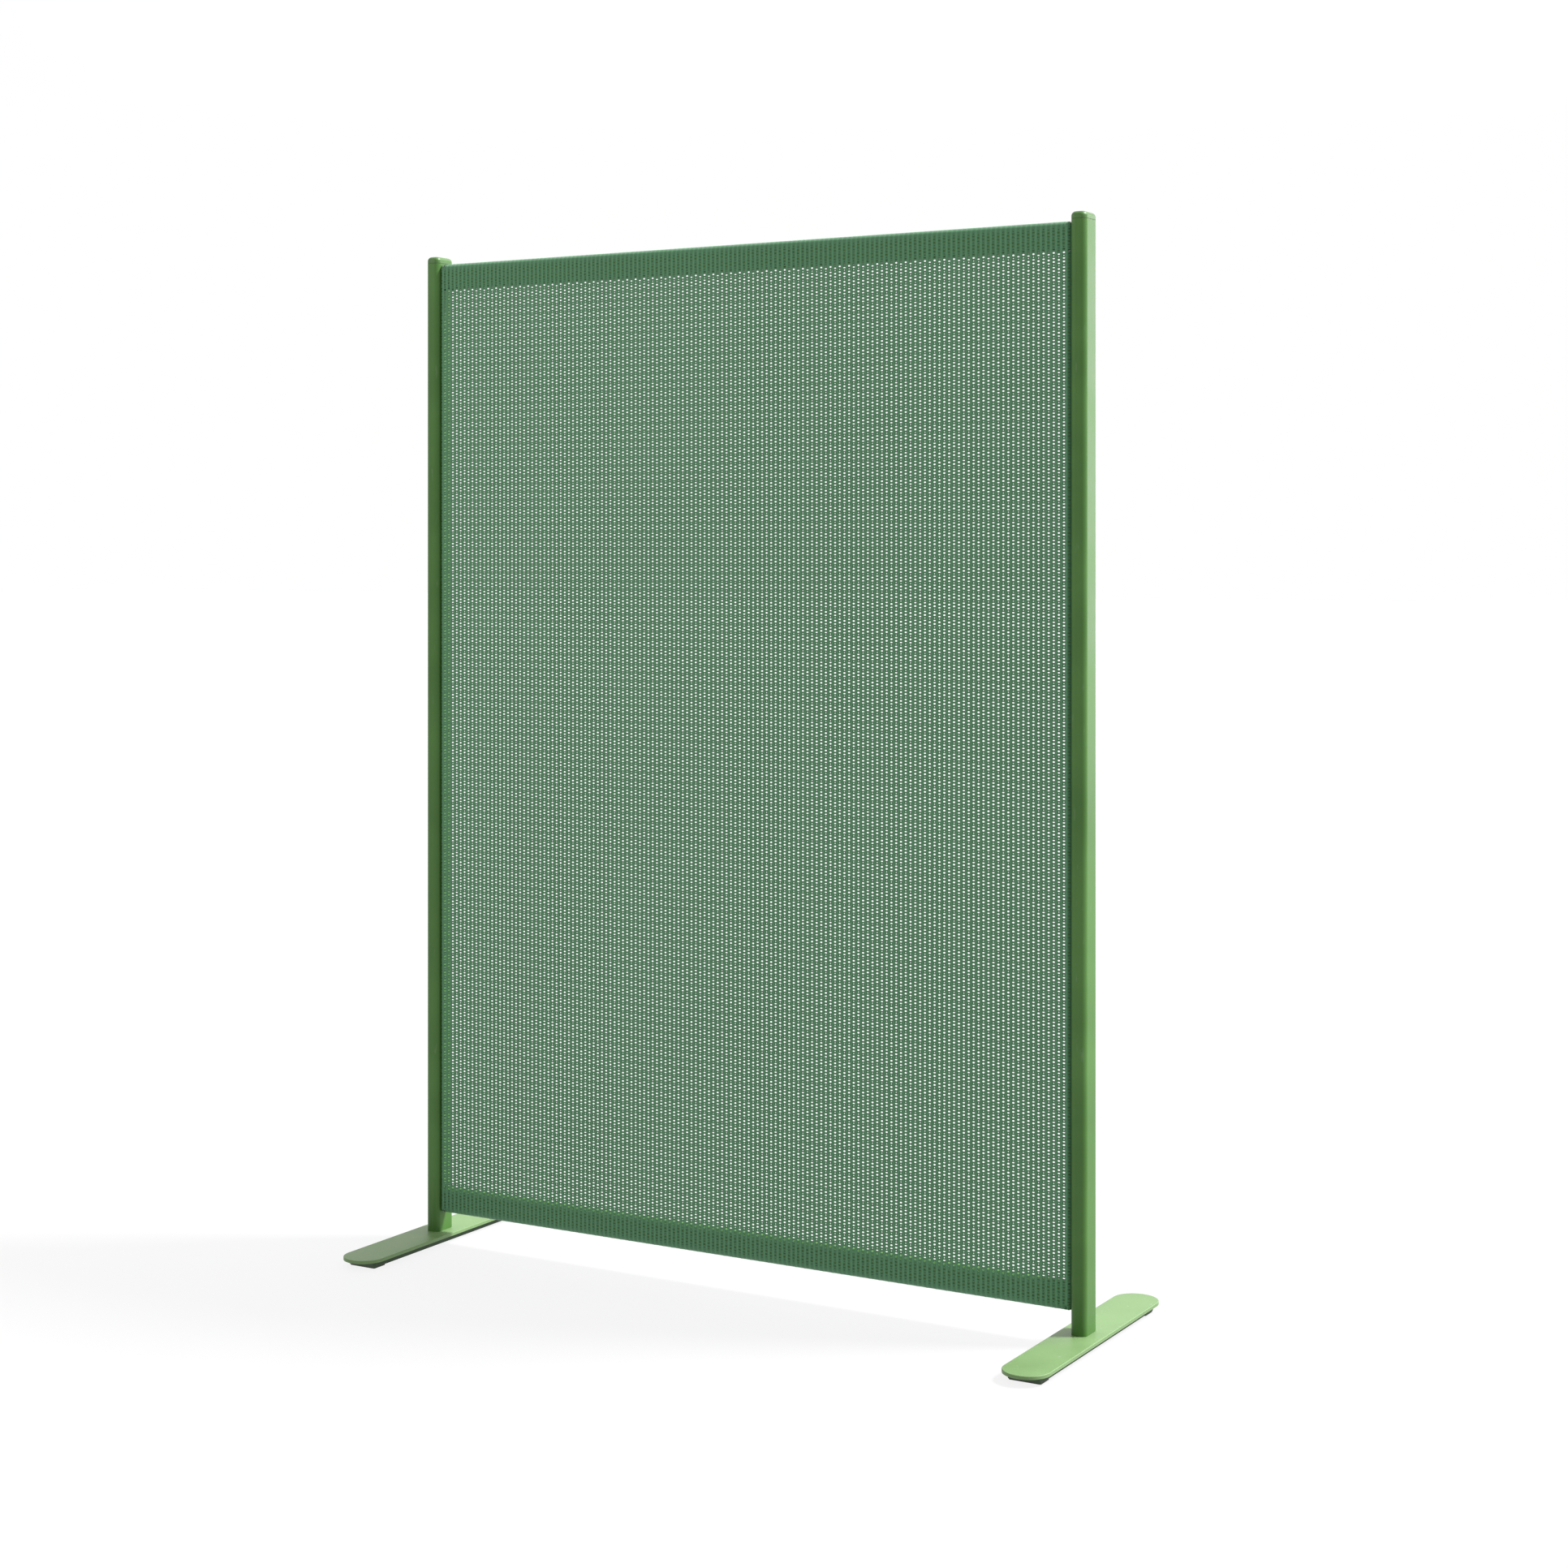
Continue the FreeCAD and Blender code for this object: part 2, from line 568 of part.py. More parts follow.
panel_holes = []
rail_screw_holes = []
for side, sign, outwards in SIDES:
    post_x = f"{sign} * {POST_X}"
    make_foot(side, post_x)
    make_cap(side, post_x)
    bracket_holes, rail_holes = make_brackets(side, sign, outwards)
    batten_holes = make_batten(side, sign, outwards)
    make_keder(side, sign)
    make_post(side, post_x, [bracket_holes, batten_holes])
    panel_holes += [bracket_holes, batten_holes]
    rail_screw_holes.append(rail_holes)
for rail, rail_z in RAILS:
    make_rail(rail, rail_z, rail_screw_holes)
    make_hem(rail, rail_z)
make_mesh_panel(panel_holes)
export_subparts()
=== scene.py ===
"""The look of the free-standing mesh screen: one knitted sheet, painted metal, floor, light, camera."""
import math

import bpy
import numpy as np
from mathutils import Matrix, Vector
from mathutils.geometry import delaunay_2d_cdt


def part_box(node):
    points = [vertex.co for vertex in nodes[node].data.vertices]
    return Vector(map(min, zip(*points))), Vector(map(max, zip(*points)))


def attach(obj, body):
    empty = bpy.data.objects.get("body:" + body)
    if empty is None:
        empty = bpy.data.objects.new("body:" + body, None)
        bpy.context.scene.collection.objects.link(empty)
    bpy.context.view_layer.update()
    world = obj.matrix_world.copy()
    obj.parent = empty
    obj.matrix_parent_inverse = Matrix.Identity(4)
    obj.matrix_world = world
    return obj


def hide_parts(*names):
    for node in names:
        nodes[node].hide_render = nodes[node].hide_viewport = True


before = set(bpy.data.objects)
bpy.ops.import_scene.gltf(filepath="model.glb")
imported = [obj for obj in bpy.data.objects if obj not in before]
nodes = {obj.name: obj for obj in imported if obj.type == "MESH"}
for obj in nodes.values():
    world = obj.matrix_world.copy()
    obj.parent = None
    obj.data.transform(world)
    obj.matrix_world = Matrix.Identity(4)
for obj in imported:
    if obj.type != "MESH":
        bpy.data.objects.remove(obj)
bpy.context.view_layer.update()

MM = 0.001

# ---------------------------------------------------------------------------------------------
# The knit. It repeats every two columns of holes, and every PERIOD down a column.

COLUMNS = 140                       # across the flat front
TURNED_COLUMNS = 2                  # round each side edge
PERIOD = 13.276 * MM
CELL_ROWS = 2                       # rows of knitting in the cell about a hole
GAUGE = PERIOD / 6                  # rows of knitting in a period
FIRST_BIG_Z = 106.95 * MM           # a big hole of an even column
ODD_SHIFT = -1.176 * GAUGE          # from it down to a big hole of an odd column
WALE_RELIEF = 0.6 * MM              # half the cloth's thickness, on the ribs between columns
BAR_RELIEF = 0.45 * MM              # on the threads between the holes of one column
RING_RELIEF = 0.4 * MM
RING_WIDTH = 0.5 * MM
WELD = 0.002 * MM                   # grid on which points at one place, seen flat, are one
KEY_SPAN = 10_000_000               # more steps of that grid than the sheet is long
ROUNDING = 1e-9
FRONT_MARGIN = 0.2 * MM             # how far below the flat front a hole's middle may be
TOP_MARGINS = (0.8 * MM, 1.2 * MM)  # how far before and past the hem's flat top it may be

# The holes of a period, going up an even column and down an odd one. Each has a cell. Its place
# counts rows from the big hole, and square says how flat its side toward that big hole is.
BIG = {"place": 0, "width": 3.8 * MM, "height": 2.65 * MM, "points": 8, "square": 2}
SMALL = {"place": 2.04, "width": 1.9 * MM, "height": 1.35 * MM, "points": 6, "square": 2}
MEDIUM = {"place": 3.804, "width": 3.8 * MM, "height": 1.85 * MM, "points": 8, "square": 8}
HOLES = (BIG, SMALL, MEDIUM)


def hole_outline(hole, flip):
    """Points round a hole, anticlockwise: an ellipse that may be squarer toward the big hole."""
    angle = np.arange(hole["points"]) * (2 * np.pi / hole["points"])
    across = np.cos(angle)
    up = np.sin(angle)
    lower = up < -ROUNDING
    up[lower] = -np.sqrt(1 - np.abs(across[lower]) ** hole["square"])
    outline = np.stack([across * hole["width"] / 2, flip * up * hole["height"] / 2], axis=1)
    return outline[::flip]


def hole_cell(kind, flip, pitch, side):
    """One cell of the knit, about a hole: points (across, up, relief) and triangles."""
    hole = HOLES[kind]
    rim = hole_outline(hole, flip)
    rim[:, 0] += pitch / 2
    rim[:, 1] += flip * hole["place"] * GAUGE
    count = len(rim)
    centre = rim.mean(axis=0)
    outward = rim - centre
    outward /= np.linalg.norm(outward, axis=1)[:, None]
    ring = rim + outward * RING_WIDTH
    bottom = CELL_ROWS * kind * flip - CELL_ROWS // 2
    top = bottom + CELL_ROWS
    edge = np.array([
        (0, bottom), (0.5, bottom), (1, bottom), (1, bottom + side),
        (1, top), (0.5, top), (0, top), (0, bottom + side)]) * (pitch, GAUGE)
    edge_relief = np.array([WALE_RELIEF, BAR_RELIEF, WALE_RELIEF, WALE_RELIEF] * 2)
    flat = [Vector(point) for point in np.concatenate([ring, edge])]
    loops = [list(range(count, count + len(edge))), list(range(count))]
    ring_loop = 1
    inside_only = 1
    tolerance = 1e-7
    _, _, triangles, from_points, _, from_loops = delaunay_2d_cdt(
        flat, [], loops, inside_only, tolerance)
    source = [ids[0] for ids in from_points]
    faces = [[source[corner] for corner in triangle]
             for triangle, inside in zip(triangles, from_loops) if ring_loop not in inside]
    following = [(number + 1) % count for number in range(count)]
    first_rim = len(flat)
    for number, after in enumerate(following):
        faces.append([number, after, first_rim + after])
        faces.append([number, first_rim + after, first_rim + number])
    points = np.zeros((first_rim + count, 3))
    points[:, :2] = np.concatenate([ring, edge, rim])
    points[:count, 2] = RING_RELIEF
    points[count:first_rim, 2] = edge_relief
    return points, facing_front(points, np.array(faces))


def plain_cell(pitch, side):
    """A cell with no hole."""
    across = np.array([0, 0.5, 1]) * pitch
    up = np.array([0, side, CELL_ROWS]) * GAUGE
    points = np.array([(x, z, WALE_RELIEF) for z in up for x in across])
    wide = len(across)
    points[1::wide, 2] = BAR_RELIEF
    faces = []
    for row in range(len(up) - 1):
        for column in range(wide - 1):
            corner = row * wide + column
            above = corner + wide
            faces.append([corner, corner + 1, above + 1])
            faces.append([corner, above + 1, above])
    return points, np.array(faces)


def facing_front(points, faces):
    """The triangles, each turned to run anticlockwise."""
    a, b, c = (points[faces[:, corner], :2] for corner in range(3))
    area = (b[:, 0] - a[:, 0]) * (c[:, 1] - a[:, 1]) - (b[:, 1] - a[:, 1]) * (c[:, 0] - a[:, 0])
    faces[area < 0] = faces[area < 0][:, ::-1]
    return faces


def stamp(cell, places):
    """Copies of a cell at each (across, up)."""
    points, faces = cell
    places = np.array(places).reshape(-1, 2)
    moved = np.repeat(points[None], len(places), axis=0)
    moved[:, :, :2] += places[:, None, :]
    numbers = faces[None] + np.arange(len(places))[:, None, None] * len(points)
    return moved.reshape(-1, 3), numbers.reshape(-1, 3)


def join(parts):
    """One set of points and triangles from several, with points at one place welded."""
    starts = np.cumsum([0] + [len(points) for points, faces in parts[:-1]])
    points = np.concatenate([points for points, faces in parts])
    faces = np.concatenate([faces + start for (_, faces), start in zip(parts, starts)])
    keys = np.round(points[:, :2] / WELD).astype(np.int64)
    _, kept, numbers = np.unique(
        keys[:, 0] * KEY_SPAN + keys[:, 1], return_index=True, return_inverse=True)
    return points[kept], numbers[faces]


def both_faces(points, faces):
    """A closed cloth: the front face and its mirror image, which share every edge and rim."""
    pairs = np.sort(np.concatenate([faces[:, [0, 1]], faces[:, [1, 2]], faces[:, [2, 0]]]), axis=1)
    edges, uses = np.unique(pairs[:, 0] * len(points) + pairs[:, 1], return_counts=True)
    rim = edges[uses == 1]
    points[np.concatenate([rim // len(points), rim % len(points)]), 2] = 0
    raised = points[:, 2] > 0
    behind = np.arange(len(points))
    behind[raised] = len(points) + np.arange(raised.sum())
    back = points[raised] * (1, 1, -1)
    return np.concatenate([points, back]), np.concatenate([faces, behind[faces][:, ::-1]])


def wrap(distance, runs):
    """Where cloth gets to that leaves a flat face: how far outward, how far back, and its slope.

    runs is a list of (length, turn in radians).
    """
    outward = np.zeros_like(distance)
    back = np.zeros_like(distance)
    slope = np.zeros_like(distance)
    heading = 0.0
    start = 0.0
    for length, turn in runs:
        part = np.clip(distance - start, 0, length)
        if turn:
            radius = length / turn
            ahead = radius * np.sin(part / radius)
            aside = radius * (1 - np.cos(part / radius))
            slope += part / radius
        else:
            ahead = part
            aside = 0
        outward += ahead * math.cos(heading) - aside * math.sin(heading)
        back += ahead * math.sin(heading) + aside * math.cos(heading)
        heading += turn
        start += length
    return outward, back, slope


class Cloth:
    """Sizes of the knitted sheet, read from the CAD nodes that it stands for."""

    def __init__(self):
        panel_low, panel_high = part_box("mesh_panel")
        upper_low, upper_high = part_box("upper_hem")
        lower_low, lower_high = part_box("lower_hem")
        self.half = upper_high.x
        self.pitch = 2 * self.half / COLUMNS
        self.low = panel_low.z
        self.high = panel_high.z
        self.middle_y = panel_low.y + WALE_RELIEF
        self.side_radius = panel_high.x - self.half - WALE_RELIEF
        self.hem_radius = upper_high.z - panel_high.z - WALE_RELIEF
        self.hem_corner = self.hem_radius + WALE_RELIEF
        side_bend = (self.side_radius * math.pi / 2, math.pi / 2)
        hem_bend = (self.hem_radius * math.pi / 2, math.pi / 2)
        self.hem_top = upper_high.y - upper_low.y - 2 * self.hem_corner
        self.hem_back = upper_high.z - upper_low.z - 2 * self.hem_corner
        self.side_runs = [side_bend, (TURNED_COLUMNS * self.pitch - side_bend[0], 0)]
        self.upper_runs = [hem_bend, (self.hem_top, 0), hem_bend, (self.hem_back, 0), hem_bend]
        self.lower_runs = [hem_bend]
        self.bend = hem_bend[0]

    def holed(self, up, front_only):
        """Whether a hole with its middle at this height is knitted: only on the flat, or near it."""
        top = self.high + self.bend
        back = top + self.hem_top + self.bend
        in_front = self.low - FRONT_MARGIN < up < self.high
        on_top = top - TOP_MARGINS[0] < up < top + self.hem_top + TOP_MARGINS[1]
        on_back = back < up < back + self.hem_back
        return in_front or not front_only and (on_top or on_back)

    def bent(self, points):
        """The flat sheet's points (across, up, relief), wrapped round the rails and the edges."""
        across, up, relief = points.T
        aside, side_back, side_slope = wrap(np.abs(across) - self.half, self.side_runs)
        above, above_back, above_slope = wrap(up - self.high, self.upper_runs)
        below, below_back, below_slope = wrap(self.low - up, self.lower_runs)
        normal = np.stack([
            np.sign(across) * np.sin(side_slope),
            -np.cos(side_slope) * np.cos(above_slope) * np.cos(below_slope),
            np.sin(above_slope) - np.sin(below_slope)], axis=1)
        place = np.stack([
            np.clip(across, -self.half, self.half) + np.sign(across) * aside,
            self.middle_y + side_back + above_back + below_back,
            np.clip(up, self.low, self.high) + above - below], axis=1)
        return place + normal * relief[:, None]


def knit_columns(cloth, numbers, low, high, front_only):
    """Cells of the given columns, from low to high up the flat sheet."""
    holes = {}
    plain = {}
    for number in numbers:
        flip = -1 if number % 2 else 1
        origin = FIRST_BIG_Z + (ODD_SHIFT if flip < 0 else 0)
        across = (number - COLUMNS / 2) * cloth.pitch
        first = math.ceil((low - origin) / GAUGE / CELL_ROWS + 0.5)
        last = math.floor((high - origin) / GAUGE / CELL_ROWS - 0.5)
        for cell in range(first, last + 1):
            kind = flip * cell % len(HOLES)
            repeat = origin + CELL_ROWS * (cell - flip * kind) * GAUGE
            if cloth.holed(repeat + flip * HOLES[kind]["place"] * GAUGE, front_only):
                holes.setdefault((kind, flip), []).append((across, repeat))
            else:
                bottom = origin + (CELL_ROWS * cell - CELL_ROWS // 2) * GAUGE
                plain.setdefault(flip, []).append((across, bottom))
    # A cell's sides have a point where the cells of the columns beside it meet.
    sides = {1: CELL_ROWS + ODD_SHIFT / GAUGE, -1: -ODD_SHIFT / GAUGE}
    parts = []
    for (kind, flip), places in holes.items():
        parts.append(stamp(hole_cell(kind, flip, cloth.pitch, sides[flip]), places))
    for flip, places in plain.items():
        parts.append(stamp(plain_cell(cloth.pitch, sides[flip]), places))
    return parts


def corner_patch(cloth, side, end):
    """The rounded corner of cloth between a turned edge and a hem."""
    steps = 6
    turns = np.linspace(0, np.pi / 2, steps + 1)
    side_corner = cloth.side_radius + WALE_RELIEF
    front = cloth.middle_y - WALE_RELIEF
    level = cloth.high if end > 0 else cloth.low
    points = []
    for spread in turns:
        share = math.sin(spread) ** 2
        depth = (1 - share) * side_corner + share * cloth.hem_corner
        for tilt in turns:
            aside = side_corner * math.sin(tilt) * math.cos(spread)
            beyond = cloth.hem_corner * math.sin(tilt) * math.sin(spread)
            points.append((
                side * (cloth.half + aside),
                front + depth * (1 - math.cos(tilt)),
                level + end * beyond))
    faces = []
    for row in range(steps):
        for column in range(steps):
            corner = row * len(turns) + column
            above = corner + len(turns)
            quad = [corner, corner + 1, above + 1, above]
            faces.append(quad if side * end < 0 else quad[::-1])
    return points, faces


def mesh_object(name, points, faces, material):
    """A smooth-shaded mesh."""
    mesh = bpy.data.meshes.new(name)
    points = np.asarray(points, np.float32)
    faces = np.asarray(faces, np.int32)
    corners = faces.shape[1]
    mesh.vertices.add(len(points))
    mesh.vertices.foreach_set("co", points.ravel())
    mesh.loops.add(faces.size)
    mesh.loops.foreach_set("vertex_index", faces.ravel())
    mesh.polygons.add(len(faces))
    mesh.polygons.foreach_set("loop_start", np.arange(len(faces), dtype=np.int32) * corners)
    mesh.update(calc_edges=True)
    mesh.shade_smooth()
    mesh.materials.append(material)
    piece = bpy.data.objects.new(name, mesh)
    bpy.context.scene.collection.objects.link(piece)
    return piece


# ---------------------------------------------------------------------------------------------
# Materials.


def map_range(tree, value, low, high, to_low, to_high):
    """value from low..high to to_low..to_high, held at both ends."""
    node = tree.nodes.new("ShaderNodeMapRange")
    tree.links.new(value, node.inputs["Value"])
    for socket, number in (
            ("From Min", low), ("From Max", high), ("To Min", to_low), ("To Max", to_high)):
        node.inputs[socket].default_value = number
    return node.outputs["Result"]


class Shader:
    """A material with a Principled shader and short ways to add nodes to it."""

    def __init__(self, name, **constants):
        self.material = bpy.data.materials.new(name)
        self.material.use_nodes = True
        self.tree = self.material.node_tree
        self.surface = self.tree.nodes["Principled BSDF"]
        for socket, value in constants.items():
            self.surface.inputs[socket.replace("_", " ")].default_value = value
        self.place = self.add("ShaderNodeTexCoord").outputs["Object"]

    def add(self, kind, inputs=(), **settings):
        """A new node with settings, and inputs given as (socket, value or other node's output)."""
        node = self.tree.nodes.new(kind)
        for name, value in settings.items():
            setattr(node, name, value)
        for socket, value in inputs:
            if isinstance(value, bpy.types.NodeSocket):
                self.tree.links.new(value, node.inputs[socket])
            else:
                node.inputs[socket].default_value = value
        return node

    def math(self, operation, first, second=0.0):
        node = self.add("ShaderNodeMath", [(0, first), (1, second)], operation=operation)
        return node.outputs[0]

    def noise(self, scale, detail=2.0, place=None):
        inputs = [("Vector", place or self.place), ("Scale", scale), ("Detail", detail)]
        return self.add("ShaderNodeTexNoise", inputs).outputs["Fac"]

    def spread(self, value, low, high, to_low, to_high):
        return map_range(self.tree, value, low, high, to_low, to_high)

    def mix(self, share, first, second):
        # Of a Mix node's sockets, 6, 7 and output 2 are the colours.
        inputs = [("Factor", share), (6, first), (7, second)]
        return self.add("ShaderNodeMix", inputs, data_type="RGBA").outputs[2]

    def bump(self, height, strength, distance, under=None):
        inputs = [("Height", height), ("Strength", strength), ("Distance", distance)]
        if under:
            inputs.append(("Normal", under))
        return self.add("ShaderNodeBump", inputs).outputs["Normal"]

    def drive(self, socket, value):
        self.tree.links.new(value, self.surface.inputs[socket])


def painted(name, colour, roughness, grain, scuffs):
    """Powder coat: fine orange peel, faint mottling, and scuffs that are paler and rougher."""
    shader = Shader(name, Specular_IOR_Level=0.28)
    darker = [0.86 * part for part in colour] + [1]
    paler = [min(1, 1.1 * part + 0.01) for part in colour] + [1]
    mottle = shader.spread(shader.noise(9, 4), 0.35, 0.65, 0, 1)
    specks = shader.spread(shader.noise(2600, 1), 0.3, 0.7, 0, 1)
    base = shader.mix(shader.math("MULTIPLY", mottle, 0.7), darker, paler)
    base = shader.mix(shader.math("MULTIPLY", specks, 0.18), base, paler)
    streaks = shader.add("ShaderNodeMapping", [("Vector", shader.place), ("Scale", (1, 1, 0.2))])
    scratched = shader.spread(shader.noise(160, 6, streaks.outputs[0]), 0.66, 0.74, 0, scuffs)
    worn = [0.6 * part + 0.3 for part in colour] + [1]
    shader.drive("Base Color", shader.mix(scratched, base, worn))
    rough = shader.spread(mottle, 0, 1, roughness - 0.05, roughness + 0.05)
    shader.drive("Roughness", shader.math("ADD", rough, shader.math("MULTIPLY", scratched, 0.3)))
    shader.drive("Normal", shader.bump(shader.noise(1400, 2), grain, 0.2 * MM))
    return shader.material


def moulded(name, colour, roughness, scale):
    """Plastic or rubber with a spark-eroded grain."""
    shader = Shader(name)
    grain = shader.noise(scale, 3)
    tone = shader.spread(shader.noise(20, 3), 0.3, 0.7, 0, 1)
    darker = [0.85 * part for part in colour] + [1]
    shader.drive("Base Color", shader.mix(tone, darker, list(colour) + [1]))
    shader.drive("Roughness", shader.spread(grain, 0.3, 0.7, roughness - 0.08, roughness + 0.08))
    shader.drive("Normal", shader.bump(grain, 0.35, 0.15 * MM))
    return shader.material


def zinc(name):
    """Zinc-plated steel: bright, with faint spangle and turning marks."""
    shader = Shader(name, Metallic=1.0)
    spangle = shader.add("ShaderNodeTexVoronoi", [("Vector", shader.place), ("Scale", 260.0)])
    tone = shader.spread(spangle.outputs["Distance"], 0, 1, 0, 1)
    shader.drive("Base Color", shader.mix(tone, (0.50, 0.51, 0.53, 1), (0.72, 0.72, 0.70, 1)))
    marks = shader.noise(900, 2)
    shader.drive("Roughness", shader.spread(marks, 0.3, 0.7, 0.28, 0.48))
    shader.drive("Normal", shader.bump(marks, 0.2, 0.05 * MM))
    return shader.material


def knitted(name, cloth):
    """Polyester knit: ribs between the columns, chain stitches along them and fine yarn, with painted
    shade on the set-back threads between the ribs.
    """
    shader = Shader(name, Sheen_Weight=0.18, Sheen_Roughness=0.4, Specular_IOR_Level=0.3)
    split = shader.add("ShaderNodeSeparateXYZ", [("Vector", shader.place)])
    x = split.outputs["X"]
    z = split.outputs["Z"]
    from_rib = shader.math("PINGPONG", x, cloth.pitch / 2)
    rib = shader.spread(from_rib, 0.9 * MM, 2.2 * MM, 1, 0)
    chevron = shader.math("ADD", z, shader.math("MULTIPLY", from_rib, 0.9))
    stitch = shader.math("SINE", shader.math("MULTIPLY", chevron, 2 * math.pi / (1.1 * MM)))
    stitch = shader.spread(stitch, -1, 1, 0, 1)
    yarn = shader.noise(2200, 3)
    cloudy = shader.spread(shader.noise(3.5, 3), 0.3, 0.7, 0, 1)
    # Darker colour on the set-back threads between the ribs, round the holes: painted shade.
    set_back_shade = (0.038, 0.112, 0.050, 1)
    usual = (0.064, 0.182, 0.086, 1)
    bright = (0.100, 0.250, 0.130, 1)
    base = shader.mix(rib, set_back_shade, usual)
    base = shader.mix(shader.math("MULTIPLY", stitch, 0.30), base, bright)
    fibres = shader.spread(yarn, 0.35, 0.65, 0, 1)
    base = shader.mix(shader.math("MULTIPLY", fibres, 0.25), base, bright)
    base = shader.mix(shader.math("MULTIPLY", cloudy, 0.12), base, bright)
    shader.drive("Base Color", base)
    shader.drive("Roughness", shader.spread(yarn, 0.3, 0.7, 0.62, 0.82))
    coarse = shader.bump(stitch, 0.5, 0.12 * MM)
    shader.drive("Normal", shader.bump(yarn, 0.4, 0.08 * MM, coarse))
    return shader.material


def floor_material():
    """Studio floor, very slightly uneven: mostly self-lit, so shadows on it are faint."""
    shader = Shader(
        "studio_floor", Roughness=0.9, Specular_IOR_Level=0.1, Emission_Color=(1, 1, 1, 1),
        Emission_Strength=0.86)
    tone = shader.spread(shader.noise(1.5, 2), 0.3, 0.7, 0, 1)
    darker, paler = ((grey, grey, grey, 1) for grey in (0.048, 0.054))
    shader.drive("Base Color", shader.mix(tone, darker, paler))
    return shader.material


# ---------------------------------------------------------------------------------------------
# Pieces.


def make_cloth():
    """The knitted sheet: flat front, turned side edges, and hems wrapped round both rails."""
    cloth = Cloth()
    turned = [*range(-TURNED_COLUMNS, 0), *range(COLUMNS, COLUMNS + TURNED_COLUMNS)]
    upper_end = cloth.high + sum(length for length, turn in cloth.upper_runs)
    lower_end = cloth.low - sum(length for length, turn in cloth.lower_runs)
    parts = knit_columns(cloth, range(COLUMNS), lower_end, upper_end, False)
    cell = CELL_ROWS * GAUGE
    parts += knit_columns(cloth, turned, cloth.low - cell, cloth.high + cell, True)
    points, faces = both_faces(*join(parts))
    material = knitted("green_knit", cloth)
    sheet = mesh_object("knitted_sheet", cloth.bent(points), faces, material)
    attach(sheet, "root")
    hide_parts("mesh_panel", "upper_hem", "lower_hem")
    for side_name, side in (("left", -1), ("right", 1)):
        for end_name, end in (("upper", 1), ("lower", -1)):
            corner = mesh_object(
                f"{end_name}_{side_name}_sheet_corner", *corner_patch(cloth, side, end), material)
            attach(corner, "root")


def finish_cad_nodes():
    """Give every CAD node that stays its material."""
    green = (0.050, 0.138, 0.023)
    # Paler than the posts' green: painted light for the strong light and sheen on the foot plates'
    # tops.
    plate_green_painted_light = (0.125, 0.212, 0.082)
    # Much darker than the posts' green: painted shade for the shadow under the foot plates.
    bar_green_painted_shade = (0.016, 0.042, 0.011)
    bracket_green = [0.8 * part for part in green]
    paints = {
        "_post": painted("post_paint", green, roughness=0.42, grain=0.12, scuffs=0.10),
        "_post_cap": moulded("cap_plastic", green, roughness=0.45, scale=1800),
        "_base_plate": painted("plate_paint_painted_light", plate_green_painted_light, roughness=0.45, grain=0.16, scuffs=0.35),
        "_ballast_bar": painted("bar_paint_painted_shade", bar_green_painted_shade, roughness=0.55, grain=0.16, scuffs=0.15),
        "_rail": painted("rail_paint", green, roughness=0.5, grain=0.12, scuffs=0.10),
        "_edge_batten": painted("batten_paint", green, roughness=0.45, grain=0.12, scuffs=0.10),
        "_rail_bracket": moulded("bracket_plastic", bracket_green, roughness=0.5, scale=1500),
        "_glide": moulded("glide_rubber", (0.045, 0.045, 0.045), roughness=0.75, scale=900),
        "_hem_strip": moulded("strip_plastic", (0.10, 0.09, 0.10), roughness=0.5, scale=1200),
        "_keder": moulded("keder_plastic", (0.08, 0.13, 0.09), roughness=0.6, scale=1200),
        "_screws": zinc("zinc_screws"),
        "_batten_screws": painted("screw_paint", green, roughness=0.45, grain=0.12, scuffs=0.10),
        "_nut_plate": zinc("zinc_plate"),
        "_foot_plug": zinc("zinc_plug"),
    }
    for name, node in nodes.items():
        endings = [ending for ending in paints if name.endswith(ending)]
        if endings:
            finish = paints[max(endings, key=len)]
            for holder in node.material_slots:
                holder.material = finish


def make_studio():
    """Pale floor, pale surroundings and soft lights: the strong ones are behind, on the right."""
    reach = 60
    corners = [(-reach, -reach, 0), (reach, -reach, 0), (reach, reach, 0), (-reach, reach, 0)]
    floor = mesh_object("studio_floor", corners, [(0, 1, 2, 3)], floor_material())
    make_world()
    sun = bpy.data.lights.new("sun", "SUN")
    sun.energy = 7.4
    sun.angle = math.radians(12)
    aim_light("sun", sun, (5.5, 3.2, 7.7), (0, 0, 0))
    lamp("sheen", (2.2, 3.7, 1.7), aim=(0.6, 0, 1.0), size=2.4, power=60)
    lamp("fill", (-1.7, -1.8, 2.6), aim=(-0.6, 0, 1.6), size=1.0, power=13)


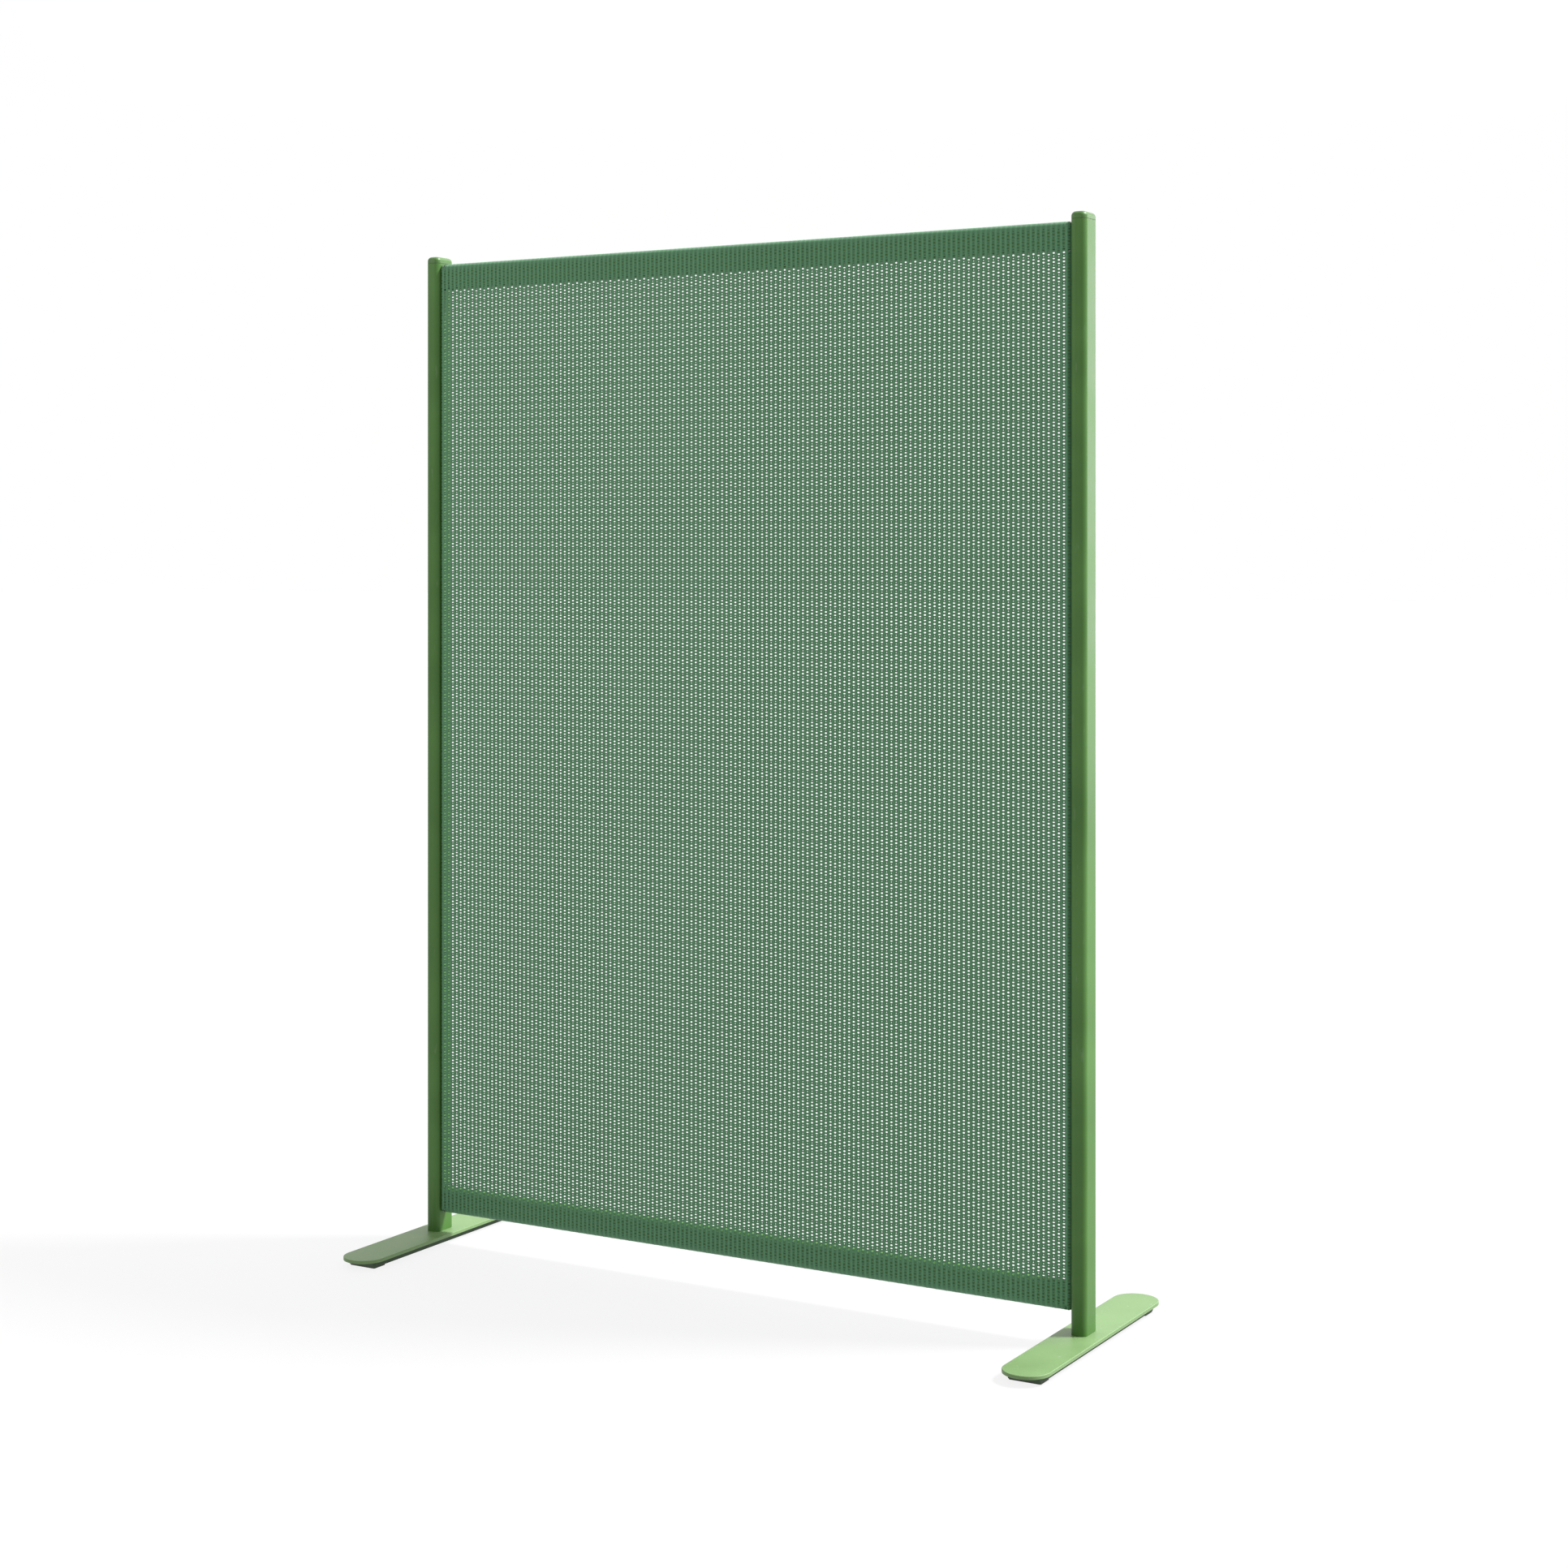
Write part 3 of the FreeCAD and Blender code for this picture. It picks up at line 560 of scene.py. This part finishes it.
def make_world():
    """White round the horizon; higher up, brightest above and behind and dimmer in front."""
    world = bpy.data.worlds.new("studio")
    world.use_nodes = True
    tree = world.node_tree
    direction = tree.nodes.new("ShaderNodeTexCoord").outputs["Generated"]
    height = tree.nodes.new("ShaderNodeSeparateXYZ")
    tree.links.new(direction, height.inputs[0])
    toward_brightest = tree.nodes.new("ShaderNodeVectorMath")
    toward_brightest.operation = "DOT_PRODUCT"
    toward_brightest.inputs[1].default_value = (0.1, 0.6, 0.79)
    tree.links.new(direction, toward_brightest.inputs[0])
    sky = map_range(tree, toward_brightest.outputs["Value"], -0.1, 1.0, 0.15, 1.75)
    above_horizon = map_range(tree, height.outputs["Z"], 0.16, 0.34, 0.0, 1.0)
    # Of a Mix node's sockets, 0, 2, 3 and output 0 are the plain numbers.
    strength = tree.nodes.new("ShaderNodeMix")
    strength.inputs[2].default_value = 1.0
    tree.links.new(above_horizon, strength.inputs[0])
    tree.links.new(sky, strength.inputs[3])
    background = tree.nodes["Background"]
    background.inputs["Color"].default_value = (1, 1, 1, 1)
    tree.links.new(strength.outputs[0], background.inputs["Strength"])
    bpy.context.scene.world = world


def lamp(name, position, aim, size, power):
    """A square soft light."""
    light = bpy.data.lights.new(name, "AREA")
    light.shape = "SQUARE"
    light.size = size
    light.energy = power
    aim_light(name, light, position, aim)


def aim_light(name, light, position, aim):
    """Place a light, turned toward a point."""
    holder = bpy.data.objects.new(name, light)
    holder.location = position
    holder.visible_camera = False
    holder.rotation_euler = (Vector(aim) - Vector(position)).to_track_quat("-Z", "Y").to_euler()
    bpy.context.scene.collection.objects.link(holder)


def make_camera():
    """Level camera at eye height, turned toward the panel from its right end."""
    camera = bpy.data.cameras.new("camera")
    camera.sensor_width = 36
    camera.lens = 60.11
    camera.shift_y = -0.1462
    holder = bpy.data.objects.new("camera", camera)
    holder.location = (2.127, -3.520, 1.1505)
    holder.rotation_euler = (math.radians(90), 0, math.radians(30.149))
    bpy.context.scene.collection.objects.link(holder)
    bpy.context.scene.camera = holder


make_camera()
make_cloth()
finish_cad_nodes()
make_studio()
bpy.context.scene.view_settings.view_transform = "Standard"
